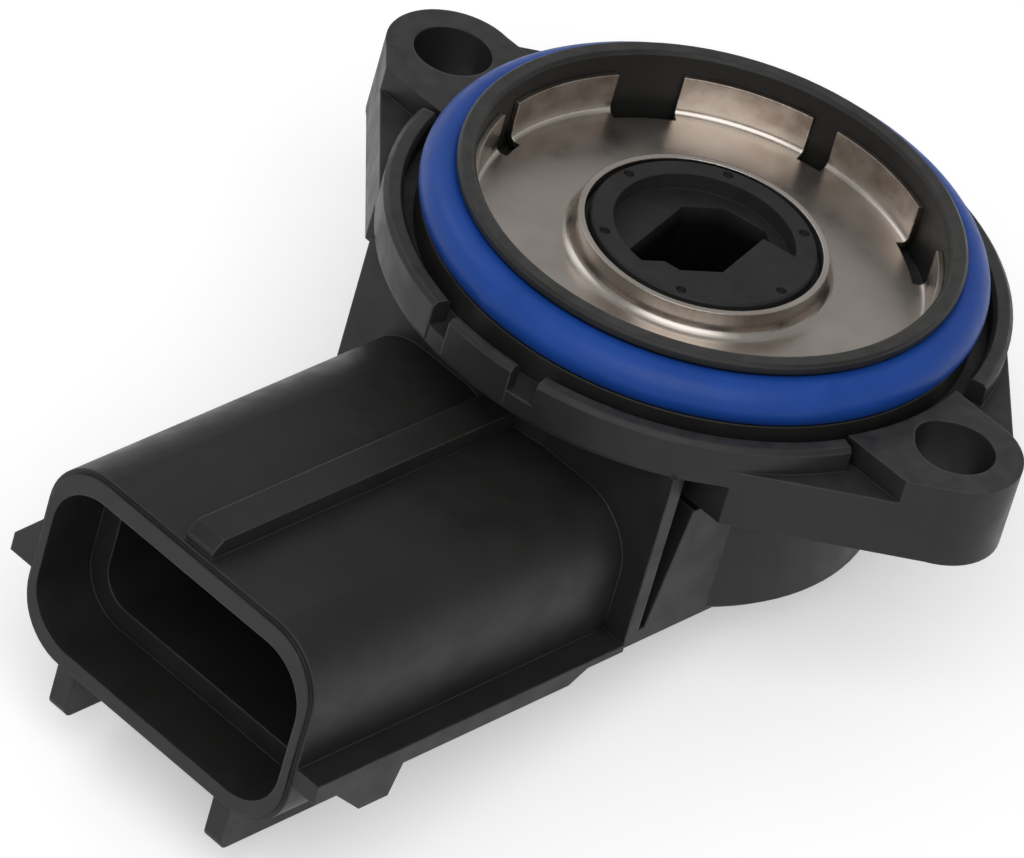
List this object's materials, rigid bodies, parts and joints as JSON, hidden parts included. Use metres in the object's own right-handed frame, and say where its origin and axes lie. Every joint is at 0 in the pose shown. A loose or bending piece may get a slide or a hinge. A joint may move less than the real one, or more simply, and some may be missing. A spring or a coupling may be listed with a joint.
{
  "type": "throttle position sensor",
  "caption": "Rotary position sensor for a throttle body: round flanged housing with screw ears, sealed collar, sprung drive rotor and side plug socket.",
  "frame": {"origin": "on the rotor axis, in the mounting face, midway between the two screw holes", "axes": "+Z along the rotor axis towards the throttle body, -X towards the mouth of the plug socket, Y through the two screw holes"},
  "size_m": [0.0696, 0.0594, 0.0326],
  "materials": {
    "housing_plastic": "fine satin, glass-filled",
    "rotor_plastic": "fine satin",
    "seal_rubber": "smooth, slightly glossy",
    "cup_steel": "rolled sheet, satin",
    "spring_steel": "drawn and bright",
    "bearing_plastic": "natural moulded",
    "contact_alloy": "stamped copper alloy",
    "board_ceramic": "fired ceramic",
    "track_ink": "printed and fired",
    "lead_silver": "printed silver",
    "terminal_tin": "tin plated"
  },
  "bodies": {
    "sensor_body": {"housing": "housing_plastic", "seal_ring": "seal_rubber", "retainer_cup": "cup_steel", "wave_washer": "spring_steel", "return_spring": "spring_steel", "element_board": "board_ceramic", "resistive_track": "track_ink", "collector_track": "track_ink", "lead_supply": "lead_silver", "lead_signal": "lead_silver", "lead_ground": "lead_silver", "clip_supply": "contact_alloy", "clip_signal": "contact_alloy", "clip_ground": "contact_alloy", "terminal_supply": "terminal_tin", "terminal_signal": "terminal_tin", "terminal_ground": "terminal_tin"},
    "rotor_body": {"rotor": "rotor_plastic", "thrust_washer": "bearing_plastic", "wiper_carrier": "bearing_plastic", "wiper": "contact_alloy"}
  },
  "joints": [
    {"name": "rotor_turn", "type": "hinge", "parent": "sensor_body", "child": "rotor_body", "pos_m": [0, 0, 0], "axis": [0, 0, 1], "range_deg": [0, 100], "stiffness_Nm_per_rad": 0.008, "springref_deg": -34.38, "deforming": ["return_spring"]}
  ]
}
